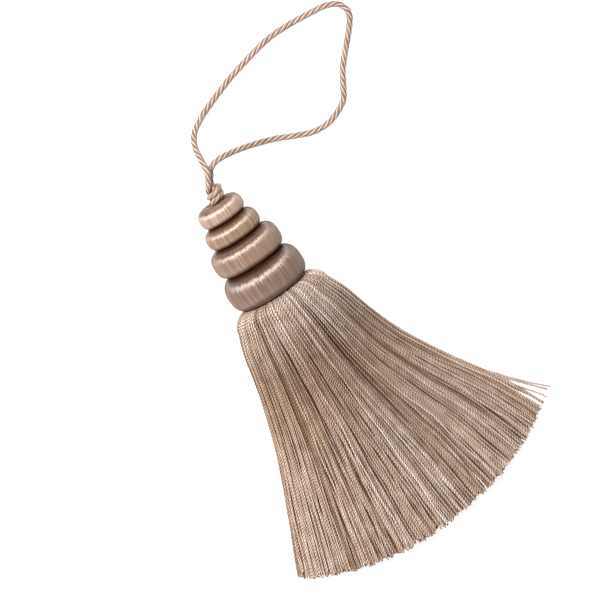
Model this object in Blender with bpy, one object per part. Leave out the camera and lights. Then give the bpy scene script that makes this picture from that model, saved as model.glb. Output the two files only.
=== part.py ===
"""A key tassel lying flat: a fanned skirt of cut yarns, a head of four wound rings, a knot and a looped cord.

Sizes are in millimetres. The head's axis lies along +Y, the skirt fans out towards -Y, and the floor is z = 0.
Each made piece is one object: skirt, ring_1 to ring_4, knot and hanging_cord.
"""

import math

import bpy
import numpy as np

MM = 0.001

# Where the head's axis and ring 4's lower side lie in the finished frame
AXIS_X = -5.15
RING_4_Y = 31.5
AXIS_Z = 15.2

GAP = 0.3

# Wound rings, from the knot down to the skirt
RING_COLUMNS = ("name", "outer_radius", "band_half_width", "half_height")
RINGS = (
    ("ring_1", 8.8, 3.4, 3.45),
    ("ring_2", 10.6, 3.9, 3.75),
    ("ring_3", 13.5, 4.9, 5.0),
    ("ring_4", 15.2, 5.5, 6.3),
)
RING_STEPS = 26
RING_SIDES = 12
RING_SQUARENESS = 2.8

# Heading that binds the yarns: distance below ring 4, half width, half height
HEADING = (
    (0.3, 9.4, 9.2),
    (0.8, 12.8, 12.0),
    (2.0, 15.3, 13.8),
    (4.6, 17.0, 14.6),
    (9.0, 18.2, 14.6),
)
HEADING_SIDES = 28

# Fan of yarns: distance below ring 4, half width left and right, top, and how flat its underside lies
FAN = (
    (6.0, 18.9, 18.9, 30.8, 0.0),
    (12.0, 21.1, 21.7, 30.6, 0.1),
    (22.0, 23.2, 24.5, 27.6, 0.35),
    (36.0, 26.6, 29.1, 21.6, 0.7),
    (54.0, 32.4, 38.6, 16.8, 0.9),
    (74.0, 40.7, 51.0, 12.8, 1.0),
    (108.0, 56.5, 66.0, 9.4, 1.0),
)
STRANDS = 140
STRAND_WIDTH = 1.2
STRAND_SPACING = 2.1
SETTLING_STEPS = 240
# Strands in the lowest layer sink until they lie on the floor
FLOOR_LAYER = 2.2
SINKING = 0.03
GOLDEN_ANGLE = math.pi * (3.0 - math.sqrt(5.0))

# Cut end: an arc about a point on the axis
CUT_RADIUS = 110.8
CUT_CENTRE = -4.0
CUT_UNEVENNESS = 1.6
SHOULDER_REACH = 0.8
# How far the outermost strands on the right stray past the others at their ends
STRAYS = (6.5, 4.5, 2.0)

# Twisted cord: four plies
CORD_RADIUS = 1.15
CORD_PLIES = 4
CORD_PITCH = 11.0
CORD_STEPS_PER_PITCH = 10
CORD_GROOVE = 0.76
CORD_REST = CORD_RADIUS + 0.02

# Cord's route: distance right of the axis, distance above ring 4's lower side, height
ROUTE = (
    (1.35, 44.3, 16.5),
    (3.5, 48.5, 16.4),
    (4.1, 52.9, 13.9),
    (4.7, 57.0, 10.2),
    (7.3, 60.9, 6.2),
    (12.6, 63.8, 2.8),
    (18.3, 66.0, 1.5),
    (24.5, 68.2, CORD_REST),
    (31.1, 70.2, CORD_REST),
    (45.3, 73.4, CORD_REST),
    (54.4, 73.8, CORD_REST),
    (63.4, 73.1, CORD_REST),
    (69.7, 72.3, CORD_REST),
    (74.2, 70.1, CORD_REST),
    (75.6, 66.0, CORD_REST),
    (73.4, 61.8, CORD_REST),
    (66.9, 54.6, CORD_REST),
    (62.7, 49.7, CORD_REST),
    (59.5, 44.2, CORD_REST),
    (56.6, 40.3, CORD_REST),
    (49.5, 37.2, CORD_REST),
    (42.7, 37.3, CORD_REST),
    (36.6, 39.6, CORD_REST),
    (29.9, 42.8, 1.5),
    (23.0, 45.6, 4.0),
    (16.4, 47.9, 8.2),
    (10.9, 49.3, 11.7),
    (7.3, 49.3, 13.3),
    (5.1, 48.2, 13.8),
    (3.8, 46.5, 13.9),
    (2.65, 44.55, 13.9),
)

# Knot: leaning turns of the cord, as place right of the axis, above ring 4, height, radius, lean in degrees
KNOT_TURNS = (
    (2.4, 42.2, 15.4, 1.7, 18.0),
    (1.6, 40.5, 15.2, 2.1, 24.0),
    (1.0, 38.6, 15.1, 1.6, 22.0),
)
KNOT_CORD_RADIUS = 1.1
KNOT_TURN_STEPS = 18
KNOT_TURN_SIDES = 8
KNOT_NECK = ((0.0, 36.4, 1.5), (0.5, 38.4, 1.7), (1.6, 41.0, 1.7), (2.2, 43.0, 1.3))


def smooth(points, per_span):
    """Points along a Catmull-Rom curve through the rows of a table."""
    rows = np.array(points, float)
    rows = np.vstack([2 * rows[0] - rows[1], rows, 2 * rows[-1] - rows[-2]])
    found = []
    for a, b, c, d in zip(rows[:-3], rows[1:-2], rows[2:-1], rows[3:]):
        for t in np.linspace(0.0, 1.0, per_span, endpoint=False):
            found.append(
                0.5 * (2 * b + (c - a) * t + (2 * a - 5 * b + 4 * c - d) * t**2 + (3 * b - a - 3 * c + d) * t**3)
            )
    found.append(rows[-2])
    return np.array(found)


def evenly_spaced(points, count):
    """The same line with its points at equal distances."""
    lengths = np.concatenate([[0.0], np.cumsum(np.linalg.norm(np.diff(points, axis=0), axis=1))])
    at = np.linspace(0.0, lengths[-1], count)
    return np.column_stack([np.interp(at, lengths, points[:, k]) for k in range(3)]), lengths[-1]


def directions(points):
    """The unit direction of a line at each of its points."""
    along = np.gradient(points, axis=0)
    return along / np.linalg.norm(along, axis=1)[:, None]


def skin(loops, wrap):
    """Vertices and faces of a surface through loops of equal size, capped at both ends or wrapped round."""
    loops = np.asarray(loops, float)
    count, sides = loops.shape[:2]
    faces = []
    for i in range(count if wrap else count - 1):
        this, following = i * sides, (i + 1) % count * sides
        for j in range(sides):
            k = (j + 1) % sides
            faces.append((this + j, this + k, following + k, following + j))
    if not wrap:
        faces.append(tuple(range(sides))[::-1])
        faces.append(tuple(range((count - 1) * sides, count * sides)))
    return loops.reshape(-1, 3), faces


def placed(points):
    """Points given as right of the axis, above ring 4's lower side and height, in the finished frame."""
    return np.asarray(points, float) + (AXIS_X, RING_4_Y, 0.0)


def make_object(name, surfaces, helper=False):
    """One mesh object from a list of (vertices, faces), with its normals facing out."""
    vertices, faces = [], []
    for points, polygons in surfaces:
        start = len(vertices)
        vertices.extend((placed(points) * MM).tolist())
        faces.extend(tuple(start + i for i in polygon) for polygon in polygons)
    mesh = bpy.data.meshes.new(name)
    mesh.from_pydata(vertices, [], faces)
    obj = bpy.data.objects.new(name, mesh)
    bpy.context.scene.collection.objects.link(obj)
    bpy.context.view_layer.objects.active = obj
    bpy.ops.object.mode_set(mode="EDIT")
    bpy.ops.mesh.select_all(action="SELECT")
    bpy.ops.mesh.normals_make_consistent(inside=False)
    bpy.ops.object.mode_set(mode="OBJECT")
    if helper:
        obj.hide_render = True
        obj.hide_set(True)
    return obj


def fuse(obj, helper):
    modifier = obj.modifiers.new("fuse " + helper.name, "BOOLEAN")
    modifier.operation = "UNION"
    modifier.solver = "EXACT"
    modifier.object = helper


def around_axis(angle, radius, above):
    """A point at this angle about the head's axis, 0 pointing right and 90 degrees up."""
    return (radius * math.cos(angle), above, AXIS_Z + radius * math.sin(angle))


def rounded_band(half_width, half_height):
    """The section of a wound ring: a circle squared off a little, as (outwards, along the axis)."""
    found = []
    for step in range(RING_SIDES):
        angle = 2 * math.pi * (step + 0.5) / RING_SIDES
        c, s = math.cos(angle), math.sin(angle)
        size = (abs(c) ** RING_SQUARENESS + abs(s) ** RING_SQUARENESS) ** (-1 / RING_SQUARENESS)
        found.append([size * c, size * s])
    found = np.array(found)
    return found / np.abs(found).max(axis=0) * (half_width, half_height)


def build_rings():
    top = 2 * sum(row[3] for row in RINGS) + GAP * (len(RINGS) - 1)
    for row in RINGS:
        ring = dict(zip(RING_COLUMNS, row))
        middle = top - ring["half_height"]
        top -= 2 * ring["half_height"] + GAP
        band_centre = ring["outer_radius"] - ring["band_half_width"]
        band = rounded_band(ring["band_half_width"], ring["half_height"])
        # A facet faces the floor, so that the ring lies on it
        flat_out = 1 / math.cos(math.pi / RING_STEPS)
        loops = []
        for step in range(RING_STEPS):
            angle = 2 * math.pi * (step + 0.5) / RING_STEPS - math.pi / 2
            reach = flat_out if ring["name"] == "ring_4" else 1.0
            loop = []
            for out, along in band:
                radius = band_centre + out
                loop.append(around_axis(angle, radius * reach if out > 0 else radius, middle + along))
            loops.append(loop)
        make_object(ring["name"], [skin(loops, wrap=True)])


def fan_row(below):
    """The fan's section at a distance below ring 4."""
    table = np.array(FAN)
    return [np.interp(below, table[:, 0], table[:, k]) for k in range(1, 5)]


def fan_sides(x, row):
    """The underside and the top of the fan's section at each x."""
    left, right, top, flat = row
    share = np.where(x < 0, -x / left, x / right)
    arch = np.sqrt(np.clip(1 - share**2, 0.0, 1.0))
    under = (1 - flat) * top / 2 * (1 - arch)
    over = (1 - flat) * top / 2 * (1 + arch) + flat * top * arch
    return under, over


def kept_inside(x, z, row):
    margin = STRAND_WIDTH / 2
    x = np.clip(x, -row[0] + margin, row[1] - margin)
    under, over = fan_sides(x, row)
    return x, np.maximum(np.minimum(z, over - margin), under + margin)


def settled(x, z, row):
    """Strands pushed apart until they have room, inside the fan's section."""
    apart = np.eye(len(x)) * 1000.0
    for _ in range(SETTLING_STEPS):
        dx = x[:, None] - x[None, :]
        dz = z[:, None] - z[None, :]
        distance = np.hypot(dx, dz) + apart + 1e-6
        push = 0.3 * np.clip(STRAND_SPACING - distance, 0.0, None) / distance
        z = z - row[3] * SINKING * (z < FLOOR_LAYER)
        x, z = kept_inside(x + (dx * push).sum(axis=1), z + (dz * push).sum(axis=1), row)
    return x, z


def strand_lines():
    """Each strand's centre line from the heading to the cut end."""
    chance = np.random.default_rng(11)
    number = np.arange(STRANDS)
    reach = np.sqrt((number + 0.5) / STRANDS)
    row = fan_row(FAN[0][0])
    x = reach * np.cos(number * GOLDEN_ANGLE) * row[0]
    z = row[2] / 2 + reach * np.sin(number * GOLDEN_ANGLE) * row[2] / 2
    x, z = settled(x, z, row)
    stations = [np.column_stack([x, np.full(STRANDS, -FAN[0][0]), z])]
    for section in FAN[1:]:
        following = list(section[1:])
        under, over = fan_sides(x, row)
        share = (z - under) / np.maximum(over - under, 1e-6)
        x = np.where(x < 0, x * following[0] / row[0], x * following[1] / row[1])
        row = following
        under, over = fan_sides(x, row)
        x, z = settled(*kept_inside(x, under + share * (over - under), row), row)
        stations.append(np.column_stack([x, np.full(STRANDS, -section[0]), z]))
    for number, reach in zip(np.argsort(-x), STRAYS):
        stations[-1][number, 0] += reach
    stations = np.array(stations)
    lengths = CUT_RADIUS - CUT_UNEVENNESS * chance.random(STRANDS)
    lines = []
    for k in range(STRANDS):
        line = list(stations[:, k])
        line[-1] = cut_point(line[-2], line[-1], lengths[k])
        first = line[0]
        spread = math.hypot(first[0] / 18.2, (first[2] - AXIS_Z) / 15.2)
        if spread > SHOULDER_REACH:
            line.insert(0, np.array([first[0] * 0.85, -2.8, AXIS_Z + (first[2] - AXIS_Z) * 0.85]))
        lines.append(np.array(line))
    return lines


def cut_point(before, after, radius):
    """Where a strand's last stretch meets the arc of the cut end."""
    shares = np.linspace(0.0, 1.0, 400)
    points = before + shares[:, None] * (after - before)
    distance = np.hypot(points[:, 0], points[:, 1] + CUT_CENTRE)
    return points[min(np.searchsorted(distance, radius), len(points) - 1)]


def strand_surface(line, roll):
    """A four-sided strand along its centre line, narrower at the root."""
    along = directions(line)
    side = np.cross(along, (0.0, 0.0, 1.0))
    side /= np.linalg.norm(side, axis=1)[:, None]
    up = np.cross(side, along)
    half_diagonal = STRAND_WIDTH / math.sqrt(2)
    loops = []
    for k, point in enumerate(line):
        size = half_diagonal * (0.75 if k == 0 else 1.0)
        corners = [roll + math.pi / 4 + math.pi / 2 * j for j in range(4)]
        loops.append([point + size * (math.cos(a) * side[k] + math.sin(a) * up[k]) for a in corners])
    return skin(loops, wrap=False)


def build_skirt():
    loops = []
    for below, half_width, half_height in HEADING:
        loop = []
        for step in range(HEADING_SIDES):
            angle = 2 * math.pi * (step + 0.5) / HEADING_SIDES
            loop.append((half_width * math.cos(angle), -below, AXIS_Z + half_height * math.sin(angle)))
        loops.append(loop)
    skirt = make_object("skirt", [skin(loops, wrap=False)])
    surfaces = []
    for number, line in enumerate(strand_lines()):
        near_floor = line[:, 2].min() < STRAND_WIDTH
        roll = 0.0 if near_floor else number * GOLDEN_ANGLE
        surfaces.append(strand_surface(line, roll))
    fuse(skirt, make_object("strands", surfaces, helper=True))


def build_cord():
    line = smooth(ROUTE, 12)
    length = np.linalg.norm(np.diff(line, axis=0), axis=1).sum()
    count = round(length / CORD_PITCH * CORD_STEPS_PER_PITCH) + 1
    line, length = evenly_spaced(line, count)
    along = directions(line)
    side = np.cross(along[0], (0.0, 0.0, 1.0))
    loops = []
    sides = 2 * CORD_PLIES
    for k, point in enumerate(line):
        side = side - along[k] * side.dot(along[k])
        side /= np.linalg.norm(side)
        up = np.cross(side, along[k])
        turn = 2 * math.pi * k * length / (count - 1) / CORD_PITCH
        loop = []
        for j in range(sides):
            angle = turn + 2 * math.pi * j / sides
            size = CORD_RADIUS * (1.0 if j % 2 == 0 else CORD_GROOVE)
            loop.append(point + size * (math.cos(angle) * side + math.sin(angle) * up))
        loops.append(loop)
    make_object("hanging_cord", [skin(loops, wrap=False)])
    print(f"hanging_cord is {length:.1f} mm long")


def knot_turn(across, above, height, radius, lean):
    """One closed turn of the knot, leaning across the head's axis."""
    tilt = math.radians(lean)
    outward = np.array((math.cos(tilt), math.sin(tilt), 0.0))
    upward = np.array((0.0, 0.0, 1.0))
    axis = np.cross(outward, upward)
    loops = []
    for step in range(KNOT_TURN_STEPS):
        angle = 2 * math.pi * step / KNOT_TURN_STEPS
        out = math.cos(angle) * outward + math.sin(angle) * upward
        centre = np.array((across, above, height)) + radius * out
        loop = []
        for side in range(KNOT_TURN_SIDES):
            around = 2 * math.pi * (side + 0.5) / KNOT_TURN_SIDES
            loop.append(centre + KNOT_CORD_RADIUS * (math.cos(around) * out + math.sin(around) * axis))
        loops.append(loop)
    return skin(loops, wrap=True)


def build_knot():
    loops = []
    for across, above, radius in KNOT_NECK:
        loop = []
        for step in range(12):
            angle = 2 * math.pi * (step + 0.5) / 12
            loop.append((across + radius * math.cos(angle), above, AXIS_Z + radius * math.sin(angle)))
        loops.append(loop)
    knot = make_object("knot", [skin(loops, wrap=False)])
    for number, turn in enumerate(KNOT_TURNS):
        fuse(knot, make_object(f"turn_{number + 1}", [knot_turn(*turn)], helper=True))


def main():
    bpy.ops.object.select_all(action="SELECT")
    bpy.ops.object.delete()
    build_rings()
    build_skirt()
    build_knot()
    build_cord()


main()
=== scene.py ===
"""Looks for a key tassel that lies flat, as a Blender add-on.

It has a skirt of twisted yarns, four wound rings, a knot and a looped cord.
"""

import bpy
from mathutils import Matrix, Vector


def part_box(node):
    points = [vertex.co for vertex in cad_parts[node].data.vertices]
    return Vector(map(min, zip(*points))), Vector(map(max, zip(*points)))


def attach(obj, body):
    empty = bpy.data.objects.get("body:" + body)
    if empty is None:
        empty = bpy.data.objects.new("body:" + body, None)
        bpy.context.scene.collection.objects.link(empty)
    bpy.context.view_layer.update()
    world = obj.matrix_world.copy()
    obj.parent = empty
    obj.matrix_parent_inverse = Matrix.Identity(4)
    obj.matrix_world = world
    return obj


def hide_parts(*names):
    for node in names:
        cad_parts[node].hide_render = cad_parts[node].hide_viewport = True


bl_info = {
    "name": "Key Tassel",
    "version": (1, 0, 0),
    "blender": (4, 5, 0),
    "location": "3D View > Sidebar > Tassel",
    "description": "Builds a key tassel of twisted yarns, wound rings and a twisted cord on its solids",
    "category": "Add Mesh",
}

import math

import bmesh
import bpy
import numpy as np
from mathutils import Matrix, Vector

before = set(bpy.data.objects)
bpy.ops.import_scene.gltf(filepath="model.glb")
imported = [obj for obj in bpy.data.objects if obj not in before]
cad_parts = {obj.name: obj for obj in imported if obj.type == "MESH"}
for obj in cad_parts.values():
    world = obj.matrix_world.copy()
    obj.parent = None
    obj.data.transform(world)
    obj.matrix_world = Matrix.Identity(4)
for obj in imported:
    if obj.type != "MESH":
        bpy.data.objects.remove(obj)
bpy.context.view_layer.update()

MM = 0.001
GOLDEN_ANGLE = math.pi * (3.0 - math.sqrt(5.0))

# The head's axis and ring 4's lower side, from the solids
RING_4_LOW, RING_4_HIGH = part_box("ring_4")
AXIS_X = (RING_4_LOW[0] + RING_4_HIGH[0]) / 2 / MM
AXIS_Z = 15.2
RING_4_Y = RING_4_LOW[1] / MM

# Wound rings: outer radius, band's half width and half height, middle above ring 4's lower side,
# and squareness on the knot's side
RINGS = (
    ("ring_1", 8.8, 3.4, 3.45, 34.45, 2.15),
    ("ring_2", 10.6, 3.9, 3.75, 26.95, 2.15),
    ("ring_3", 13.5, 4.9, 5.0, 17.9, 2.65),
    ("ring_4", 15.2, 5.5, 6.3, 6.3, 2.42),
)
RING_SQUARENESS = 2.8
RING_SIDES = 40
STEPS_PER_THREAD = 4

# Fan of yarns: distance below ring 4, half width left and right, top, and how flat its underside lies
FAN = (
    (6.0, 18.9, 18.9, 30.8, 0.0),
    (12.0, 21.1, 21.7, 30.6, 0.1),
    (22.0, 23.2, 24.5, 27.6, 0.35),
    (36.0, 26.6, 29.1, 21.6, 0.7),
    (54.0, 32.4, 38.6, 16.8, 0.9),
    (74.0, 40.7, 51.0, 12.8, 1.0),
    (112.0, 56.0, 68.5, 9.2, 1.0),
)
CUT_CENTRE = -4.0

# Sections that a yarn is drawn through, below ring 4, and the yarn's bend over the shoulder before them
SECTIONS = (6, 8.5, 11.5, 15, 19, 24, 29, 34, 39, 45, 51, 57, 63, 69, 75, 81, 87, 93, 99, 105, 112)
SHOULDER_POINTS = 5
SHOULDER_START = 10.5
SHOULDER_RISE = 5.75

# Locks that the yarns gather in: waves across the fan, drift along it, and strength
LOCKS = ((9, 60.0, 1.0), (14, 45.0, 1.0), (23, 70.0, 1.0), (37, 50.0, 0.8), (58, 40.0, 0.5))
LOCK_SWAY = 0.28
LOCK_DEPTH = 0.5
VALLEY = 0.1

# Yarns that stray from the right corner, and where they part from it
STRAYS = (2.0, 3.4, 4.8, 5.6)
PARTING = (60.0, 24.0)

# Shares of taupe, tan, silver and brown yarns
YARN_SHARES = (0.48, 0.24, 0.09, 0.19)

# Painted light and shade along the yarns: darker and browner 25 to 40 mm below ring 4, where the skirt slopes
# away from the light, and lighter towards the ends. Distance below ring 4, then red, green and blue against
# the yarn's own colour
PAINTED_LIGHT_ALONG = (
    (0.0, 0.96, 0.99, 1.04),
    (12.0, 0.98, 1.0, 1.04),
    (25.0, 0.78, 0.72, 0.65),
    (40.0, 0.84, 0.79, 0.72),
    (60.0, 1.02, 1.02, 1.02),
    (80.0, 1.1, 1.13, 1.15),
    (112.0, 1.08, 1.12, 1.15),
)

# Cord's route: distance right of the axis, distance above ring 4's lower side, height
CORD_REST = 1.17
ROUTE = (
    (1.35, 44.3, 16.5),
    (3.5, 48.5, 16.4),
    (4.1, 52.9, 13.9),
    (4.7, 57.0, 10.2),
    (7.3, 60.9, 6.2),
    (12.6, 63.8, 2.8),
    (18.3, 66.0, 1.5),
    (24.5, 68.2, CORD_REST),
    (31.1, 70.2, CORD_REST),
    (45.3, 73.4, CORD_REST),
    (54.4, 73.8, CORD_REST),
    (63.4, 73.1, CORD_REST),
    (69.7, 72.3, CORD_REST),
    (74.2, 70.1, CORD_REST),
    (75.6, 66.0, CORD_REST),
    (73.4, 61.8, CORD_REST),
    (66.9, 54.6, CORD_REST),
    (62.7, 49.7, CORD_REST),
    (59.5, 44.2, CORD_REST),
    (56.6, 40.3, CORD_REST),
    (49.5, 37.2, CORD_REST),
    (42.7, 37.3, CORD_REST),
    (36.6, 39.6, CORD_REST),
    (29.9, 42.8, 1.5),
    (23.0, 45.6, 4.0),
    (16.4, 47.9, 8.2),
    (10.9, 49.3, 11.7),
    (7.3, 49.3, 13.3),
    (5.1, 48.2, 13.8),
    (3.8, 46.5, 13.9),
    (2.65, 44.55, 13.9),
)

# Knot: one leg's turns round the other leg, and that other leg, which runs down as the knot's core
KNOT_CORD = 2.15
KNOT_ENTRY = ((1.6, 44.9, 16.5), (0.9, 43.8, 16.4))
KNOT_TURNS = 2.05
KNOT_START = 178.0
KNOT_TOP = (2.2, 42.7, 15.3)
KNOT_FOOT = (1.1, 38.4, 15.2)
KNOT_RADII = (2.1, 2.4, 2.2)
KNOT_LEAN = 0.12
KNOT_NECK = ((-0.5, 36.8, 15.6), (-0.2, 35.6, 15.4))
KNOT_CORE = ((2.7, 44.9, 13.9), (2.4, 43.4, 14.4), (1.9, 41.2, 15.1), (1.2, 38.4, 15.2), (0.9, 35.6, 14.8))
KNOT_STEPS = 36

# Plies of the cord: how many of each colour, then offsets and radii against the cord's radius
PLIES = 4
PALE_PLY = (0.64, 0.27)
BROWN_PLY = (0.56, 0.45)
CORD_CORE = 0.35

# Lights: place in metres, and size
KEY_LIGHT = ((-0.18, 0.62, 0.96), (0.6, 0.42))
FILL_LIGHT = ((-0.55, -0.85, 0.80), (0.8, 0.8))
LIGHTS_AIM = (0.0, 0.02, 0.01)


def from_screen(red, green, blue):
    """A colour as a screen shows it, 0 to 255, as linear values."""
    found = []
    for value in (red, green, blue):
        share = value / 255
        found.append(share / 12.92 if share <= 0.04045 else ((share + 0.055) / 1.055) ** 2.4)
    return tuple(found)


def colour_setting(name, description, *screen):
    return bpy.props.FloatVectorProperty(
        name=name, description=description, default=from_screen(*screen), subtype="COLOR"
    )


def length_setting(name, description, metres):
    return bpy.props.FloatProperty(name=name, description=description, default=metres, unit="LENGTH")


def plain_setting(name, description, value, **kind):
    return bpy.props.FloatProperty(name=name, description=description, default=value, **kind)


class SkirtSettings(bpy.types.PropertyGroup):
    yarn_count: bpy.props.IntProperty(name="Yarns", description="Twisted yarns in the skirt", default=1450)
    yarn_diameter: length_setting("Yarn diameter", "Thickness of one yarn", 0.70 * MM)
    yarn_spacing: length_setting("Yarn spacing", "Room that each yarn takes", 0.74 * MM)
    cut_radius: length_setting("Cut radius", "Radius of the arc that the ends are cut to", 110.8 * MM)
    unevenness: length_setting("Unevenness", "How far the cut ends differ in length", 1.8 * MM)
    taupe: colour_setting("Taupe", "Main yarn colour", 194, 168, 151)
    tan: colour_setting("Golden tan", "Second yarn colour", 199, 171, 147)
    silver: colour_setting("Silvery pink", "Light yarn colour", 220, 200, 188)
    brown: colour_setting("Brown", "Dark yarn colour", 158, 128, 106)
    # Painted shade: a yarn that lies under other yarns keeps this share of its colour, darker and warmer
    painted_cover_shade: bpy.props.FloatVectorProperty(
        name="Covered",
        description="Share of its colour that a covered yarn keeps",
        default=(0.68, 0.51, 0.4),
        subtype="COLOR",
    )


class RingSettings(bpy.types.PropertyGroup):
    thread_width: length_setting("Thread width", "Width of one wound thread on the outside", 0.42 * MM)
    thread_relief: length_setting("Thread relief", "How far a thread stands out", 0.17 * MM)
    ring_1: colour_setting("Ring 1", "Thread colour of the top ring", 180, 153, 137)
    ring_2: colour_setting("Ring 2", "Thread colour of the second ring", 156, 127, 102)
    ring_3: colour_setting("Ring 3", "Thread colour of the third ring", 153, 125, 106)
    ring_4: colour_setting("Ring 4", "Thread colour of the lowest ring", 130, 103, 87)


class CordSettings(bpy.types.PropertyGroup):
    diameter: length_setting("Diameter", "Thickness of the twisted cord", 2.3 * MM)
    pitch: length_setting("Pitch", "Length of one full turn of a ply", 11.0 * MM)
    light: colour_setting("Light ply", "Colour of the pale plies", 210, 188, 174)
    dark: colour_setting("Dark ply", "Colour of the brown plies", 130, 103, 86)
    # The knot's plies have less contrast than the loop's: the pale ones are darker, as painted shade in the
    # tight knot, and the brown ones lighter
    knot_light: colour_setting("Knot's light ply", "Colour of the pale plies in the knot", 198, 174, 158)
    knot_dark: colour_setting("Knot's dark ply", "Colour of the brown plies in the knot", 142, 112, 92)


class StageSettings(bpy.types.PropertyGroup):
    floor: bpy.props.FloatVectorProperty(
        name="Floor", description="Colour of the pale floor", default=(0.6, 0.6, 0.6), subtype="COLOR"
    )
    tilt: plain_setting("Camera tilt", "Lean from straight above", math.radians(11.0), subtype="ANGLE")
    turn: plain_setting("Camera turn", "Tassel's turn in the view", math.radians(33.5), subtype="ANGLE")
    distance: length_setting("Camera distance", "Distance from the camera to the tassel", 1.5)
    width: length_setting("View width", "Width of the view at the tassel", 212.8 * MM)
    glow: plain_setting("Floor glow", "Light that the floor gives off", 0.75)
    key_power: plain_setting("Key light", "Power of the main light", 19.0, unit="POWER")
    fill_power: plain_setting("Fill light", "Power of the weaker light", 3.5, unit="POWER")
    sky: plain_setting("Sky light", "Strength of the light from all round", 0.28)


# Shared shapes


def placed(points):
    """Points right of the axis, above ring 4's lower side and high, in metres in the part's frame."""
    return (np.asarray(points, float) + (AXIS_X, RING_4_Y, 0.0)) * MM


def smooth(points, per_span):
    """Points along a Catmull-Rom curve through the rows of a table."""
    rows = np.array(points, float)
    rows = np.concatenate([2 * rows[:1] - rows[1:2], rows, 2 * rows[-1:] - rows[-2:-1]])
    found = []
    for a, b, c, d in zip(rows[:-3], rows[1:-2], rows[2:-1], rows[3:]):
        square, cube = 2 * a - 5 * b + 4 * c - d, 3 * b - a - 3 * c + d
        for t in np.linspace(0.0, 1.0, per_span, endpoint=False):
            found.append(0.5 * (2 * b + (c - a) * t + square * t**2 + cube * t**3))
    found.append(rows[-2])
    return np.array(found)


def evenly_spaced(points, count):
    """The same line with its points at equal distances, and its length."""
    lengths = np.concatenate([[0.0], np.cumsum(np.linalg.norm(np.diff(points, axis=0), axis=1))])
    at = np.linspace(0.0, lengths[-1], count)
    return np.column_stack([np.interp(at, lengths, points[:, k]) for k in range(3)]), lengths[-1]


def directions(points):
    along = np.gradient(points, axis=0)
    return along / np.linalg.norm(along, axis=1)[:, None]


def plied(line, length, pitch, plies, offset, start):
    """Centre lines of plies laid round a line, turning left-handed once in each pitch."""
    along = directions(line)
    side = np.cross(along[0], (0.0, 0.0, 1.0))
    sides, ups = [], []
    for direction in along:
        side = side - direction * side.dot(direction)
        side /= np.linalg.norm(side)
        sides.append(side)
        ups.append(np.cross(side, direction))
    sides, ups = np.array(sides), np.array(ups)
    turn = 2 * math.pi * np.linspace(0.0, length, len(line)) / pitch
    found = []
    for k in range(plies):
        angle = (turn + 2 * math.pi * (k + start) / plies)[:, None]
        found.append(line + offset * (np.cos(angle) * sides + np.sin(angle) * ups))
    return found


def round_yarns(sides):
    """Geometry nodes that give every line of a mesh a round closed skin."""
    name = f"Round yarns {sides}"
    if name in bpy.data.node_groups:
        return bpy.data.node_groups[name]
    group = bpy.data.node_groups.new(name, "GeometryNodeTree")
    group.interface.new_socket("Geometry", in_out="INPUT", socket_type="NodeSocketGeometry")
    group.interface.new_socket("Geometry", in_out="OUTPUT", socket_type="NodeSocketGeometry")
    nodes, link = group.nodes, group.links.new
    lines = nodes.new("NodeGroupInput")
    result = nodes.new("NodeGroupOutput")
    curves = nodes.new("GeometryNodeMeshToCurve")
    thickness = nodes.new("GeometryNodeInputNamedAttribute")
    thickness.data_type = "FLOAT"
    thickness.inputs["Name"].default_value = "thickness"
    section = nodes.new("GeometryNodeCurvePrimitiveCircle")
    section.inputs["Resolution"].default_value = sides
    section.inputs["Radius"].default_value = 1.0
    position = nodes.new("GeometryNodeInputPosition")
    keep_side = nodes.new("GeometryNodeStoreNamedAttribute")
    keep_side.data_type = "FLOAT_VECTOR"
    keep_side.domain = "POINT"
    keep_side.inputs["Name"].default_value = "side"
    skin = nodes.new("GeometryNodeCurveToMesh")
    skin.inputs["Fill Caps"].default_value = True
    link(lines.outputs[0], curves.inputs["Mesh"])
    link(section.outputs["Curve"], keep_side.inputs["Geometry"])
    link(position.outputs[0], keep_side.inputs["Value"])
    link(curves.outputs["Curve"], skin.inputs["Curve"])
    link(keep_side.outputs[0], skin.inputs["Profile Curve"])
    link(thickness.outputs["Attribute"], skin.inputs["Scale"])
    link(skin.outputs["Mesh"], result.inputs[0])
    return group


def yarn_object(name, lines, radii, tints, sides, material):
    """One mesh of round yarns along lines in millimetres.

    It keeps their place, side and colour as attributes. A tint is one colour, or one for each point.
    """
    starts = np.cumsum([0] + [len(line) for line in lines])
    pairs = [np.column_stack([np.arange(a, b - 1), np.arange(a + 1, b)]) for a, b in zip(starts, starts[1:])]
    mesh = bpy.data.meshes.new(name + " lines")
    mesh.from_pydata(placed(np.concatenate(lines)), np.concatenate(pairs).tolist(), [])
    chance = np.random.default_rng(len(lines))
    along = []
    for line in lines:
        lengths = np.cumsum(np.linalg.norm(np.diff(line, axis=0), axis=1))
        along.append(chance.uniform(0.0, 5.0) + chance.uniform(0.88, 1.12) * np.concatenate([[0.0], lengths]))
    thickness = [np.full(len(line), radius * MM) for radius, line in zip(radii, lines)]
    colours = np.ones((starts[-1], 4))
    for start, line, tint in zip(starts, lines, tints):
        colours[start : start + len(line), :3] = tint
    mesh.attributes.new("along", "FLOAT", "POINT").data.foreach_set("value", np.concatenate(along))
    mesh.attributes.new("thickness", "FLOAT", "POINT").data.foreach_set("value", np.concatenate(thickness))
    mesh.attributes.new("tint", "FLOAT_COLOR", "POINT").data.foreach_set("color", colours.ravel())
    source = bpy.data.objects.new(name + " lines", mesh)
    bpy.context.scene.collection.objects.link(source)
    source.modifiers.new("Yarns", "NODES").node_group = round_yarns(sides)
    graph = bpy.context.evaluated_depsgraph_get()
    skin = bpy.data.meshes.new_from_object(
        source.evaluated_get(graph), preserve_all_data_layers=True, depsgraph=graph
    )
    bpy.data.objects.remove(source)
    bpy.data.meshes.remove(mesh)
    skin.name = name
    skin.shade_smooth()
    skin.materials.clear()
    skin.materials.append(material)
    piece = bpy.data.objects.new(name, skin)
    bpy.context.scene.collection.objects.link(piece)
    return piece


# Shared material effects


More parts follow.
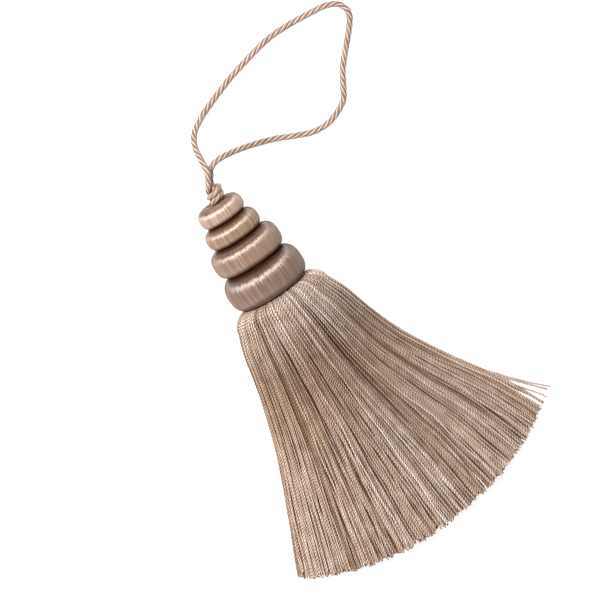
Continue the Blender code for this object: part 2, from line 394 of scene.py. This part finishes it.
def value_node(nodes, link, operation, first, second=None, clamp=False):
    """A Math node on sockets or numbers."""
    node = nodes.new("ShaderNodeMath")
    node.operation = operation
    node.use_clamp = clamp
    for socket, value in zip(node.inputs, (first, second)):
        if isinstance(value, bpy.types.NodeSocket):
            link(value, socket)
        elif value is not None:
            socket.default_value = value
    return node.outputs[0]


def twisted_ply_group():
    """Grooves and fine filaments of a yarn of plies, from its side and along attributes."""
    name = "Twisted plies"
    if name in bpy.data.node_groups:
        return bpy.data.node_groups[name]
    group = bpy.data.node_groups.new(name, "ShaderNodeTree")
    for label, default in (("Pitch", 2.4), ("Plies", 2.0), ("Filament", 0.25)):
        socket = group.interface.new_socket(label, in_out="INPUT", socket_type="NodeSocketFloat")
        socket.default_value = default
    for label in ("Crown", "Height", "Variation"):
        group.interface.new_socket(label, in_out="OUTPUT", socket_type="NodeSocketFloat")
    nodes, link = group.nodes, group.links.new
    given = nodes.new("NodeGroupInput")
    result = nodes.new("NodeGroupOutput")
    side = nodes.new("ShaderNodeAttribute")
    side.attribute_name = "side"
    along = nodes.new("ShaderNodeAttribute")
    along.attribute_name = "along"
    parts = nodes.new("ShaderNodeSeparateXYZ")
    link(side.outputs["Vector"], parts.inputs[0])
    angle = value_node(nodes, link, "ARCTAN2", parts.outputs["Y"], parts.outputs["X"])
    turns = value_node(nodes, link, "DIVIDE", along.outputs["Fac"], given.outputs["Pitch"])
    turned = value_node(nodes, link, "MULTIPLY", turns, 2 * math.pi)
    phase = value_node(nodes, link, "ADD", angle, turned)
    halved = value_node(nodes, link, "MULTIPLY", given.outputs["Plies"], 0.5)
    wave = value_node(nodes, link, "SINE", value_node(nodes, link, "MULTIPLY", phase, halved))
    crown = value_node(nodes, link, "ABSOLUTE", wave)
    noise = nodes.new("ShaderNodeTexNoise")
    noise.inputs["Scale"].default_value = 9000.0
    noise.inputs["Detail"].default_value = 1.0
    place = nodes.new("ShaderNodeTexCoord")
    link(place.outputs["Object"], noise.inputs["Vector"])
    grain = value_node(nodes, link, "MULTIPLY", noise.outputs["Fac"], given.outputs["Filament"])
    height = value_node(nodes, link, "ADD", value_node(nodes, link, "POWER", crown, 0.6), grain)
    slow = nodes.new("ShaderNodeTexNoise")
    slow.inputs["Scale"].default_value = 260.0
    slow.inputs["Detail"].default_value = 2.0
    link(place.outputs["Object"], slow.inputs["Vector"])
    link(crown, result.inputs["Crown"])
    link(height, result.inputs["Height"])
    link(slow.outputs["Fac"], result.inputs["Variation"])
    return group


def painted_shade_group():
    """A colour with painted shade: darker and warmer as its shade falls below one, and lighter above one."""
    name = "Deep colour"
    if name in bpy.data.node_groups:
        return bpy.data.node_groups[name]
    group = bpy.data.node_groups.new(name, "ShaderNodeTree")
    group.interface.new_socket("Color", in_out="INPUT", socket_type="NodeSocketColor")
    group.interface.new_socket("Shade", in_out="INPUT", socket_type="NodeSocketFloat").default_value = 1.0
    group.interface.new_socket("Color", in_out="OUTPUT", socket_type="NodeSocketColor")
    nodes, link = group.nodes, group.links.new
    given = nodes.new("NodeGroupInput")
    result = nodes.new("NodeGroupOutput")
    shades = nodes.new("ShaderNodeCombineXYZ")
    for socket, power in zip(shades.inputs, (1.0, 1.36, 1.7)):
        link(value_node(nodes, link, "POWER", given.outputs["Shade"], power), socket)
    product = nodes.new("ShaderNodeVectorMath")
    product.operation = "MULTIPLY"
    link(given.outputs["Color"], product.inputs[0])
    link(shades.outputs["Vector"], product.inputs[1])
    link(product.outputs["Vector"], result.inputs["Color"])
    return group


def yarn_material(name, pitch, plies, painted_groove_shade, relief, roughness, sheen):
    """Lustrous yarn coloured by the tint attribute. A pitch below zero turns its plies the other way."""
    material = bpy.data.materials.new(name)
    material.use_nodes = True
    nodes, link = material.node_tree.nodes, material.node_tree.links.new
    shader = nodes["Principled BSDF"]
    tint = nodes.new("ShaderNodeAttribute")
    tint.attribute_name = "tint"
    twist = nodes.new("ShaderNodeGroup")
    twist.node_tree = twisted_ply_group()
    twist.inputs["Pitch"].default_value = pitch
    twist.inputs["Plies"].default_value = plies
    # Painted shade in the grooves between the plies, and a painted highlight on their crowns
    shade = nodes.new("ShaderNodeMapRange")
    link(twist.outputs["Crown"], shade.inputs["Value"])
    shade.inputs["From Min"].default_value = 0.0
    shade.inputs["From Max"].default_value = 0.75
    shade.inputs["To Min"].default_value = painted_groove_shade
    shade.inputs["To Max"].default_value = 1.15
    vary = nodes.new("ShaderNodeMapRange")
    link(twist.outputs["Variation"], vary.inputs["Value"])
    vary.inputs["From Min"].default_value = 0.3
    vary.inputs["From Max"].default_value = 0.7
    vary.inputs["To Min"].default_value = 0.86
    vary.inputs["To Max"].default_value = 1.12
    both = value_node(nodes, link, "MULTIPLY", shade.outputs["Result"], vary.outputs["Result"])
    colour = nodes.new("ShaderNodeGroup")
    colour.node_tree = painted_shade_group()
    link(tint.outputs["Color"], colour.inputs["Color"])
    link(both, colour.inputs["Shade"])
    link(colour.outputs["Color"], shader.inputs["Base Color"])
    bump = nodes.new("ShaderNodeBump")
    bump.inputs["Strength"].default_value = 1.0
    bump.inputs["Distance"].default_value = relief
    link(twist.outputs["Height"], bump.inputs["Height"])
    link(bump.outputs["Normal"], shader.inputs["Normal"])
    shader.inputs["Roughness"].default_value = roughness
    shader.inputs["Specular IOR Level"].default_value = 0.6
    shader.inputs["Specular Tint"].default_value = (1.0, 0.88, 0.8, 1.0)
    shader.inputs["Sheen Weight"].default_value = sheen
    shader.inputs["Sheen Roughness"].default_value = 0.4
    return material


def thread_material(name, colour):
    """Silky wound thread: fine filaments that run with the thread attribute's place round the band."""
    material = bpy.data.materials.new(name)
    material.use_nodes = True
    nodes, link = material.node_tree.nodes, material.node_tree.links.new
    shader = nodes["Principled BSDF"]
    wound = nodes.new("ShaderNodeAttribute")
    wound.attribute_name = "wound"
    thread = nodes.new("ShaderNodeAttribute")
    thread.attribute_name = "thread"
    filaments = nodes.new("ShaderNodeTexNoise")
    filaments.inputs["Scale"].default_value = 1.0
    filaments.inputs["Detail"].default_value = 2.0
    link(wound.outputs["Vector"], filaments.inputs["Vector"])
    shade = nodes.new("ShaderNodeMapRange")
    link(filaments.outputs["Fac"], shade.inputs["Value"])
    shade.inputs["From Min"].default_value = 0.3
    shade.inputs["From Max"].default_value = 0.7
    shade.inputs["To Min"].default_value = 0.8
    shade.inputs["To Max"].default_value = 1.12
    # Painted shade: this attribute darkens the band where it turns in towards the next ring
    painted_groove_shade = nodes.new("ShaderNodeAttribute")
    painted_groove_shade.attribute_name = "painted_groove_shade"
    threads = value_node(nodes, link, "MULTIPLY", shade.outputs["Result"], thread.outputs["Fac"])
    shaded_colour = nodes.new("ShaderNodeGroup")
    shaded_colour.node_tree = painted_shade_group()
    shaded_colour.inputs["Color"].default_value = (*colour, 1.0)
    link(value_node(nodes, link, "MULTIPLY", threads, painted_groove_shade.outputs["Fac"]), shaded_colour.inputs["Shade"])
    link(shaded_colour.outputs["Color"], shader.inputs["Base Color"])
    around = nodes.new("ShaderNodeAttribute")
    around.attribute_name = "around"
    link(around.outputs["Vector"], shader.inputs["Tangent"])
    shader.inputs["Anisotropic"].default_value = 0.9
    stretched = nodes.new("ShaderNodeMapping")
    stretched.inputs["Scale"].default_value = (1.3, 0.8, 1.0)
    link(wound.outputs["Vector"], stretched.inputs["Vector"])
    ripples = nodes.new("ShaderNodeTexNoise")
    ripples.inputs["Scale"].default_value = 1.0
    ripples.inputs["Detail"].default_value = 1.0
    link(stretched.outputs["Vector"], ripples.inputs["Vector"])
    surface = nodes.new("ShaderNodeNewGeometry")
    lengthwise = nodes.new("ShaderNodeVectorMath")
    lengthwise.operation = "CROSS_PRODUCT"
    link(surface.outputs["Normal"], lengthwise.inputs[0])
    link(around.outputs["Vector"], lengthwise.inputs[1])
    lean = nodes.new("ShaderNodeVectorMath")
    lean.operation = "SCALE"
    link(lengthwise.outputs["Vector"], lean.inputs[0])
    off_middle = value_node(nodes, link, "SUBTRACT", ripples.outputs["Fac"], 0.5)
    link(value_node(nodes, link, "MULTIPLY", off_middle, 0.6), lean.inputs["Scale"])
    leaning = nodes.new("ShaderNodeVectorMath")
    leaning.operation = "ADD"
    link(surface.outputs["Normal"], leaning.inputs[0])
    link(lean.outputs["Vector"], leaning.inputs[1])
    bump = nodes.new("ShaderNodeBump")
    bump.inputs["Strength"].default_value = 1.0
    bump.inputs["Distance"].default_value = 0.06 * MM
    link(filaments.outputs["Fac"], bump.inputs["Height"])
    link(leaning.outputs["Vector"], bump.inputs["Normal"])
    link(bump.outputs["Normal"], shader.inputs["Normal"])
    shader.inputs["Roughness"].default_value = 0.4
    shader.inputs["Specular Tint"].default_value = (1.0, 0.92, 0.86, 1.0)
    shader.inputs["IOR"].default_value = 1.78
    shader.inputs["Specular IOR Level"].default_value = 1.0
    return material


# Stage


class TASSEL_OT_stage(bpy.types.Operator):
    """Lays the pale floor and sets the soft lights and the camera"""

    bl_idname = "tassel.stage"
    bl_label = "Stage"

    def execute(self, context):
        settings = context.scene.tassel_stage
        mesh = bpy.data.meshes.new("floor")
        sheet = bmesh.new()
        bmesh.ops.create_grid(sheet, x_segments=1, y_segments=1, size=1.5)
        bmesh.ops.translate(sheet, verts=sheet.verts, vec=(0.0, 0.0, -0.00002))
        sheet.to_mesh(mesh)
        sheet.free()
        floor = bpy.data.objects.new("floor", mesh)
        context.scene.collection.objects.link(floor)
        paper = bpy.data.materials.new("Pale paper")
        paper.use_nodes = True
        shader = paper.node_tree.nodes["Principled BSDF"]
        shader.inputs["Base Color"].default_value = (*settings.floor, 1.0)
        shader.inputs["Roughness"].default_value = 0.9
        shader.inputs["Specular IOR Level"].default_value = 0.1
        shader.inputs["Emission Color"].default_value = (1.0, 1.0, 1.0, 1.0)
        shader.inputs["Emission Strength"].default_value = settings.glow
        mesh.materials.append(paper)
        world = bpy.data.worlds.new("Soft sky")
        world.use_nodes = True
        sky = world.node_tree.nodes["Background"]
        sky.inputs["Color"].default_value = (1.0, 1.0, 1.0, 1.0)
        rays = world.node_tree.nodes.new("ShaderNodeLightPath")
        seen = world.node_tree.nodes.new("ShaderNodeMapRange")
        seen.inputs["To Min"].default_value = settings.sky
        seen.inputs["To Max"].default_value = 1.0
        world.node_tree.links.new(rays.outputs["Is Camera Ray"], seen.inputs["Value"])
        world.node_tree.links.new(seen.outputs["Result"], sky.inputs["Strength"])
        context.scene.world = world
        self.light(context, "key light", *KEY_LIGHT, settings.key_power)
        self.light(context, "fill light", *FILL_LIGHT, settings.fill_power)
        self.camera(context, settings)
        context.scene.view_settings.view_transform = "Standard"
        return {"FINISHED"}

    def light(self, context, name, place, size, power):
        lamp = bpy.data.lights.new(name, "AREA")
        lamp.shape = "RECTANGLE"
        lamp.size, lamp.size_y = size
        lamp.energy = power
        lamp_object = bpy.data.objects.new(name, lamp)
        lamp_object.location = place
        aim = Vector(LIGHTS_AIM) - Vector(place)
        lamp_object.rotation_euler = aim.to_track_quat("-Z", "Y").to_euler()
        context.scene.collection.objects.link(lamp_object)

    def camera(self, context, settings):
        sine, cosine = math.sin(settings.tilt), math.cos(settings.tilt)
        along = Vector((0.0, cosine, -sine))
        across = Vector((1.0, 0.0, 0.0))
        towards = Vector((0.0, sine, cosine))
        right = math.cos(settings.turn) * across - math.sin(settings.turn) * along
        up = math.sin(settings.turn) * across + math.cos(settings.turn) * along
        target = Vector(placed((6.3, -9.5, AXIS_Z)))
        lens = bpy.data.cameras.new("camera")
        lens.lens = 36.0 / (settings.width / settings.distance)
        lens.clip_start = 0.05
        camera = bpy.data.objects.new("camera", lens)
        turn = Matrix((right, up, towards)).transposed()
        camera.matrix_world = Matrix.Translation(target + towards * settings.distance) @ turn.to_4x4()
        context.scene.collection.objects.link(camera)
        context.scene.camera = camera


# Cord and knot


def cord_strands(route, settings, step, diameter, light, dark):
    """Lines, radii and tints of the pale and brown plies along a route."""
    line = smooth(route, 16)
    length = np.linalg.norm(np.diff(line, axis=0), axis=1).sum()
    line, length = evenly_spaced(line, round(length / step) + 1)
    radius = diameter / 2
    pitch = settings.pitch / MM
    pale = plied(line, length, pitch, PLIES, radius * PALE_PLY[0], 0.0)
    brown = plied(line, length, pitch, PLIES, radius * BROWN_PLY[0], 0.5)
    lines = pale + brown + [line]
    radii = [radius * PALE_PLY[1]] * PLIES + [radius * BROWN_PLY[1]] * PLIES + [radius * CORD_CORE]
    tints = [light] * PLIES + [dark] * (PLIES + 1)
    return line, length, lines, radii, tints


class TASSEL_OT_hanging_cord(bpy.types.Operator):
    """Lays the twisted cord in its loop, from the knot and back to it"""

    bl_idname = "tassel.hanging_cord"
    bl_label = "Hanging cord"

    def execute(self, context):
        settings = context.scene.tassel_cord
        diameter = settings.diameter / MM
        colours = settings.light, settings.dark
        line, length, lines, radii, tints = cord_strands(ROUTE, settings, 0.55, diameter, *colours)
        material = yarn_material("Twisted cord", 1.5, 2.0, 0.72, 0.00006, 0.4, 0.0)
        cord = yarn_object("looped_cord", lines, radii, tints, 8, material)
        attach(cord, "root")
        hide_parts("hanging_cord")
        return {"FINISHED"}


def knot_route():
    """One leg's way into the knot, its turns and the neck."""
    turns = []
    for t in np.linspace(0.0, 1.0, KNOT_STEPS + 1):
        angle = math.radians(KNOT_START + 360 * KNOT_TURNS * t)
        radius = np.interp(t, (0.0, 0.5, 1.0), KNOT_RADII)
        middle = np.array(KNOT_TOP) * (1 - t) + np.array(KNOT_FOOT) * t
        across = radius * math.cos(angle)
        turns.append(middle + (across, KNOT_LEAN * across, radius * math.sin(angle)))
    return np.concatenate([KNOT_ENTRY, turns, KNOT_NECK])


class TASSEL_OT_knot(bpy.types.Operator):
    """Ties the knot that seats in the top ring"""

    bl_idname = "tassel.knot"
    bl_label = "Knot"

    def execute(self, context):
        settings = context.scene.tassel_cord
        colours = settings.knot_light, settings.knot_dark
        routes = knot_route(), KNOT_CORE
        strands = [cord_strands(route, settings, 0.4, KNOT_CORD, *colours)[2:] for route in routes]
        lines, radii, tints = (first + second for first, second in zip(*strands))
        material = yarn_material("Knotted cord", 1.5, 2.0, 0.72, 0.00006, 0.4, 0.0)
        knot = yarn_object("tied_knot", lines, radii, tints, 8, material)
        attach(knot, "root")
        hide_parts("knot")
        return {"FINISHED"}


# Wound rings


class TASSEL_OT_wound_rings(bpy.types.Operator):
    """Winds the four rings with raised thread"""

    bl_idname = "tassel.wound_rings"
    bl_label = "Wound rings"

    def execute(self, context):
        settings = context.scene.tassel_rings
        for number, row in enumerate(RINGS):
            self.wind(context, settings, number, *row)
        return {"FINISHED"}

    def band(self, half_width, half_height, squareness):
        """The section of a wound ring: a circle squared off a little, as (outwards, along the axis)."""
        angle = 2 * math.pi * np.arange(RING_SIDES) / RING_SIDES
        c, s = np.cos(angle), np.sin(angle)
        power = np.where(s > 0, squareness, RING_SQUARENESS)
        size = (np.abs(c) ** power + np.abs(s) ** power) ** (-1 / power)
        return np.column_stack([half_width * size * c, half_height * size * s])

    def wind(self, context, settings, number, name, outer, half_width, half_height, middle, squareness):
        chance = np.random.default_rng(40 + number)
        relief = settings.thread_relief / MM
        threads = round(2 * math.pi * outer * MM / settings.thread_width)
        centre = outer - half_width - relief
        profile = bmesh.new()
        points = [
            profile.verts.new((centre + out, middle + along, AXIS_Z))
            for out, along in self.band(half_width, half_height - 0.02, squareness)
        ]
        edges = [profile.edges.new(pair) for pair in zip(points, points[1:] + points[:1])]
        bmesh.ops.spin(
            profile,
            geom=points + edges,
            cent=(0.0, 0.0, AXIS_Z),
            axis=(0.0, 1.0, 0.0),
            angle=2 * math.pi,
            steps=threads * STEPS_PER_THREAD,
            use_merge=True,
        )
        bmesh.ops.recalc_face_normals(profile, faces=profile.faces)
        mesh = bpy.data.meshes.new("wound_" + name)
        profile.to_mesh(mesh)
        profile.free()
        self.raise_threads(mesh, chance, threads, centre, middle, half_height, relief)
        mesh.shade_smooth()
        mesh.materials.append(thread_material(f"Wound thread {number + 1}", getattr(settings, name)))
        ring = bpy.data.objects.new("wound_" + name, mesh)
        context.scene.collection.objects.link(ring)
        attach(ring, "root")
        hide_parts(name)

    def raise_threads(self, mesh, chance, threads, centre, middle, half_height, relief):
        """Raises each wound thread, a little uneven, and keeps its place, its tone with painted shade between
        threads, and the painted shade where the band turns in, as attributes.
        """
        count = len(mesh.vertices)
        points = np.empty(count * 3)
        mesh.vertices.foreach_get("co", points)
        points = points.reshape(-1, 3)
        normals = np.empty(count * 3)
        mesh.vertices.foreach_get("normal", normals)
        normals = normals.reshape(-1, 3)
        across = np.arctan2(points[:, 0], points[:, 2] - AXIS_Z) + math.pi
        out = np.hypot(points[:, 0], points[:, 2] - AXIS_Z) - centre
        round_band = np.arctan2(points[:, 1] - middle, out)
        place = across / (2 * math.pi) * threads
        number = np.floor(place + 0.01).astype(int) % threads
        share = (place + 0.01) % 1.0
        crown = np.sqrt(np.clip(1 - (2 * share - 1) ** 2, 0.0, 1.0))
        lift = chance.normal(0.0, 0.35, threads)
        lean = chance.uniform(0.0, 2 * math.pi, threads)
        wave = chance.integers(1, 4, threads)
        uneven = lift[number] * np.sin(wave[number] * round_band + lean[number])
        slow = sum(
            chance.normal(0.0, 0.5) * np.sin(k * across + chance.uniform(0, 6.28)) for k in (2, 3, 5, 7, 11)
        )
        height = relief * (crown - 1.0 + 0.35 * uneven + 0.2 * slow)
        points += normals * height[:, None]
        mesh.vertices.foreach_set("co", placed(points).ravel())
        # Each thread's own tone, at random, then painted shade in the valleys between threads
        shade = np.clip(1.0 + 0.15 * chance.normal(size=threads), 0.66, 1.3)
        shade = shade[number] * (0.72 + 0.28 * crown)
        # Painted shade where the band turns in towards the next ring, deeper on the knot's side
        to_knot = points[:, 1] > middle
        turned_in = np.abs(points[:, 1] - middle) / half_height
        painted_groove_shade = np.clip((turned_in - np.where(to_knot, 0.5, 0.45)) / np.where(to_knot, 0.3, 0.4), 0.0, 1.0)
        painted_groove_shade = 1 - np.where(to_knot, 0.72, 0.6) * painted_groove_shade**2 * (3 - 2 * painted_groove_shade)
        mesh.attributes.new("thread", "FLOAT", "POINT").data.foreach_set("value", shade)
        mesh.attributes.new("painted_groove_shade", "FLOAT", "POINT").data.foreach_set("value", painted_groove_shade)
        around = np.column_stack([np.cos(across - math.pi), np.zeros(count), -np.sin(across - math.pi)])
        mesh.attributes.new("around", "FLOAT_VECTOR", "POINT").data.foreach_set("vector", around.ravel())
        wound = np.column_stack([place * 2.3, round_band * 1.2, number * 0.37])
        mesh.attributes.new("wound", "FLOAT_VECTOR", "POINT").data.foreach_set("vector", wound.ravel())
        mesh.update()


# Skirt


def fan_row(below):
    """The fan's section at a distance below ring 4: half widths, top and flatness."""
    table = np.array(FAN)
    return [np.interp(below, table[:, 0], table[:, k]) for k in range(1, 5)]


def fan_sides(x, row):
    """The underside and the top of the fan's section at each x."""
    left, right, top, flat = row
    share = np.where(x < 0, -x / left, x / right)
    arch = np.sqrt(np.clip(1 - share**2, 0.0, 1.0))
    under = (1 - flat) * top / 2 * (1 - arch)
    over = (1 - flat) * top / 2 * (1 + arch) + flat * top * arch
    return under, over


def kept_inside(x, z, row, margin):
    x = np.clip(x, -row[0] + margin, row[1] - margin)
    under, over = fan_sides(x, row)
    return x, np.maximum(np.minimum(z, over - margin), under + margin)


def settled(x, z, row, spacing, margin, steps):
    """Yarns pushed apart from their neighbours until they have room, inside the fan's section."""
    for _ in range(steps):
        order = np.argsort(x)
        sx, sz = x[order], z[order]
        push_x, push_z = np.zeros_like(sx), np.zeros_like(sz)
        for gap in range(1, 60):
            dx = sx[gap:] - sx[:-gap]
            dz = sz[gap:] - sz[:-gap]
            distance = np.hypot(dx, dz) + 1e-6
            push = 0.3 * np.clip(spacing - distance, 0.0, None) / distance
            push_x[gap:] += dx * push
            push_x[:-gap] -= dx * push
            push_z[gap:] += dz * push
            push_z[:-gap] -= dz * push
        x[order], z[order] = sx + push_x, sz + push_z
        x, z = kept_inside(x, z, row, margin)
    return x, z


def fan_stations(count, spacing, margin, steps):
    """Places of the yarns at each section of the fan: an array of sections by yarns by (x, z)."""
    number = np.arange(count)
    reach = np.sqrt((number + 0.5) / count)
    row = fan_row(FAN[0][0])
    x = reach * np.cos(number * GOLDEN_ANGLE) * row[0]
    z = row[2] / 2 + reach * np.sin(number * GOLDEN_ANGLE) * row[2] / 2
    x, z = kept_inside(x, z, row, margin)
    stations = [np.column_stack([x, z])]
    for section in FAN[1:]:
        following = list(section[1:])
        under, over = fan_sides(x, row)
        share = (z - under) / np.maximum(over - under, 1e-6)
        x = np.where(x < 0, x * following[0] / row[0], x * following[1] / row[1])
        row = following
        under, over = fan_sides(x, row)
        x, z = kept_inside(x, under + share * (over - under), row, margin)
        x, z = settled(x, z, row, spacing, margin, steps)
        stations.append(np.column_stack([x, z]))
    return np.array(stations)


class TASSEL_OT_skirt(bpy.types.Operator):
    """Spreads the skirt's twisted yarns in their fan"""

    bl_idname = "tassel.skirt"
    bl_label = "Skirt"

    pieces = 3

    def execute(self, context):
        settings = context.scene.tassel_skirt
        lines, covers = self.lines(settings)
        tints = self.tints(settings, lines, covers)
        radius = settings.yarn_diameter / MM / 2
        material = yarn_material("Twisted yarn", -2.45, 2.0, 0.1, 0.00024, 0.3, 0.0)
        for piece in range(self.pieces):
            chosen = range(piece, len(lines), self.pieces)
            yarns = yarn_object(
                f"skirt_yarns_{piece + 1}",
                [lines[k] for k in chosen],
                [radius] * len(chosen),
                [tints[k] for k in chosen],
                6,
                material,
            )
            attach(yarns, "root")
            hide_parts("skirt")
        return {"FINISHED"}

    def tints(self, settings, lines, covers):
        """Colours along each yarn: mostly taupe and tan, a few pale or brown, with painted shade, darker and
        warmer, where other yarns cover it, and painted light and shade along it.
        """
        chance = np.random.default_rng(5)
        count = len(lines)
        palette = np.array([settings.taupe, settings.tan, settings.silver, settings.brown])
        chosen = chance.choice(4, count, p=YARN_SHARES)
        other = chance.choice(4, count, p=YARN_SHARES)
        blend = chance.uniform(0.0, 0.35, count)[:, None]
        light = chance.normal(1.0, 0.12, count)[:, None]
        own = (palette[chosen] * (1 - blend) + palette[other] * blend) * light
        # Painted shade: yarns that lie under others turn darker and warmer
        painted_cover_shade = np.array(settings.painted_cover_shade)
        return [
            np.clip(own[k] * self.painted_light_along(lines[k]) * painted_cover_shade ** covers[k][: len(lines[k]), None], 0.0, 1.0)
            for k in range(count)
        ]

    def painted_light_along(self, line):
        """Painted light and shade along a yarn, for red, green and blue."""
        table = np.array(PAINTED_LIGHT_ALONG)
        return np.column_stack([np.interp(-line[:, 1], table[:, 0], table[:, k]) for k in (1, 2, 3)])

    def lines(self, settings):
        """Centre lines of the yarns from under ring 4 to the cut end, and how covered their points are."""
        chance = np.random.default_rng(3)
        count = settings.yarn_count
        radius = settings.yarn_diameter / MM / 2
        stations = fan_stations(count, settings.yarn_spacing / MM, radius, 40)
        depths = np.array([section[0] for section in FAN])
        fine = np.array(SECTIONS, float)
        top = fan_row(FAN[0][0])
        lengths = settings.cut_radius / MM - settings.unevenness / MM * chance.random(count) ** 1.5
        across, heights = np.zeros((2, count, len(fine)))
        reach = np.where(stations[-1, :, 0] < 0, FAN[-1][1], FAN[-1][2])
        place = stations[-1, :, 0] / reach
        spread = np.interp(fine, (6.0, 35.0, 75.0, 112.0), (0.1, 0.42, 0.85, 1.0))
        sway, valley = self.locks(chance, place, fine)
        stray = np.zeros(count)
        stray[np.argsort(place)[-2 * len(STRAYS) :: 2]] = STRAYS
        parting = np.clip((fine - PARTING[0]) / PARTING[1], 0.0, 1.2) ** 2
        lengths = lengths - 0.7 * (1 + np.sin(31 * place + 2 * np.sin(13 * place))) * chance.random(count)
        for k in range(count):
            x = self.eased(fine, depths, stations[:, k, 0]) + stray[k] * parting
            x = x + spread * (sway[k] + self.wander(chance, fine, 0.3))
            z = self.eased(fine, depths, stations[:, k, 1])
            z = z * (1 - VALLEY * np.minimum(spread, 0.8) * valley[k])
            z = z + spread * self.wander(chance, fine, 0.16)
            across[k], heights[k] = x, np.maximum(z, radius)
        sections = zip(across.T, heights.T, fine)
        covers = np.column_stack([self.cover(x, z, fan_row(below)) for x, z, below in sections])
        lines = []
        for k in range(count):
            body = np.column_stack([across[k], -fine, heights[k]])
            line = np.concatenate([self.shoulder(body[0], top), body])
            lines.append(self.cut(line, lengths[k]))
        return lines, np.column_stack([covers[:, :1]] * SHOULDER_POINTS + [covers])

    def cover(self, x, z, row):
        """How far each yarn of a section lies under others, from 0 for one on the outside to 1."""
        middle = row[2] / 2 * (1 - row[3])
        out_x = x / np.where(x < 0, row[0], row[1]) ** 2
        out_z = np.maximum(z - middle, 0.2) / (row[2] - middle) ** 2
        size = np.hypot(out_x, out_z)
        out_x, out_z = (out_x / size)[:, None], (out_z / size)[:, None]
        dx, dz = x[None] - x[:, None], z[None] - z[:, None]
        above = dx * out_x + dz * out_z
        beside = np.abs(dx * out_z - dz * out_x)
        above = np.where((beside < 0.45) & (above < 4.0), above, 0.0).max(axis=1)
        return np.clip((above - 0.2) / 0.9, 0.0, 1.0)

    def locks(self, chance, place, below):
        """How far each yarn leans sideways, and how deep it lies, where the yarns gather in locks."""
        sway = np.zeros((len(place), len(below)))
        valley = np.zeros_like(sway)
        for waves, drift, share in LOCKS:
            phase = chance.uniform(0.0, 2 * math.pi)
            turn = waves * place[:, None] * 2 + chance.choice((-1.0, 1.0)) * below / drift + phase
            sway += LOCK_SWAY * share * np.sin(turn)
            valley += LOCK_DEPTH * share * np.cos(turn)
        return sway, np.clip(valley, 0.0, None)

    def wander(self, chance, below, most):
        """A yarn's own slow wander from its place."""
        found = np.zeros(len(below))
        for length in (34.0, 19.0, 12.0):
            size = most * chance.normal() * 0.65
            found += size * np.sin(below / length * math.pi + chance.uniform(0.0, 6.28))
        return found

    def eased(self, at, knots, values):
        """A smooth curve through values at knots, read at other places."""
        slopes = np.gradient(values, knots)
        k = np.clip(np.searchsorted(knots, at, side="right") - 1, 0, len(knots) - 2)
        span = knots[k + 1] - knots[k]
        t = (at - knots[k]) / span
        return (
            (2 * t**3 - 3 * t**2 + 1) * values[k]
            + (t**3 - 2 * t**2 + t) * span * slopes[k]
            + (3 * t**2 - 2 * t**3) * values[k + 1]
            + (t**3 - t**2) * span * slopes[k + 1]
        )

    def shoulder(self, first, row):
        """The bend of a yarn out from under ring 4 and over the skirt's shoulder."""
        x, z = first[0], first[2] - AXIS_Z
        reach = math.hypot(x, z)
        share = min(math.hypot(x / row[0], z / (row[2] / 2)) / 0.98, 1.0)
        start = SHOULDER_START * share
        rise = SHOULDER_RISE * share**1.5
        found = []
        for t in np.linspace(0.0, 1.0, SHOULDER_POINTS + 1)[:-1]:
            angle = t * math.pi / 2
            radius = start + (reach - start) * math.sin(angle)
            below = SECTIONS[0] - rise * math.cos(angle)
            found.append((x / reach * radius, -below, AXIS_Z + z / reach * radius))
        return np.array(found)

    def cut(self, line, length):
        """The line up to the arc that the ends are cut to."""
        distance = np.hypot(line[:, 0], line[:, 1] + CUT_CENTRE)
        distance[: SHOULDER_POINTS + 1] = 0.0
        last = int(np.argmax(distance > length))
        if last == 0:
            return line
        share = (length - distance[last - 1]) / (distance[last] - distance[last - 1])
        end = line[last - 1] + share * (line[last] - line[last - 1])
        return np.concatenate([line[:last], [end]])


class TASSEL_PT_panel(bpy.types.Panel):
    """Lists the tassel's pieces and their settings"""

    bl_idname = "TASSEL_PT_panel"
    bl_label = "Key tassel"
    bl_space_type = "VIEW_3D"
    bl_region_type = "UI"
    bl_category = "Tassel"

    def draw(self, context):
        layout = self.layout
        for kind, settings in SETTINGS:
            box = layout.box()
            for name in kind.__annotations__:
                box.prop(getattr(context.scene, settings), name)
        for operator in OPERATORS:
            layout.operator(operator.bl_idname)


SETTINGS = (
    (StageSettings, "tassel_stage"),
    (CordSettings, "tassel_cord"),
    (RingSettings, "tassel_rings"),
    (SkirtSettings, "tassel_skirt"),
)
OPERATORS = (TASSEL_OT_stage, TASSEL_OT_hanging_cord, TASSEL_OT_knot, TASSEL_OT_wound_rings, TASSEL_OT_skirt)


def register():
    for kind, settings in SETTINGS:
        bpy.utils.register_class(kind)
        setattr(bpy.types.Scene, settings, bpy.props.PointerProperty(type=kind))
    for kind in (*OPERATORS, TASSEL_PT_panel):
        bpy.utils.register_class(kind)


def unregister():
    for kind in (TASSEL_PT_panel, *reversed(OPERATORS)):
        bpy.utils.unregister_class(kind)
    for kind, settings in reversed(SETTINGS):
        delattr(bpy.types.Scene, settings)
        bpy.utils.unregister_class(kind)


def main():
    register()
    bpy.ops.tassel.stage()
    bpy.ops.tassel.hanging_cord()
    bpy.ops.tassel.knot()
    bpy.ops.tassel.wound_rings()
    bpy.ops.tassel.skirt()


if __name__ == "__main__":
    main()
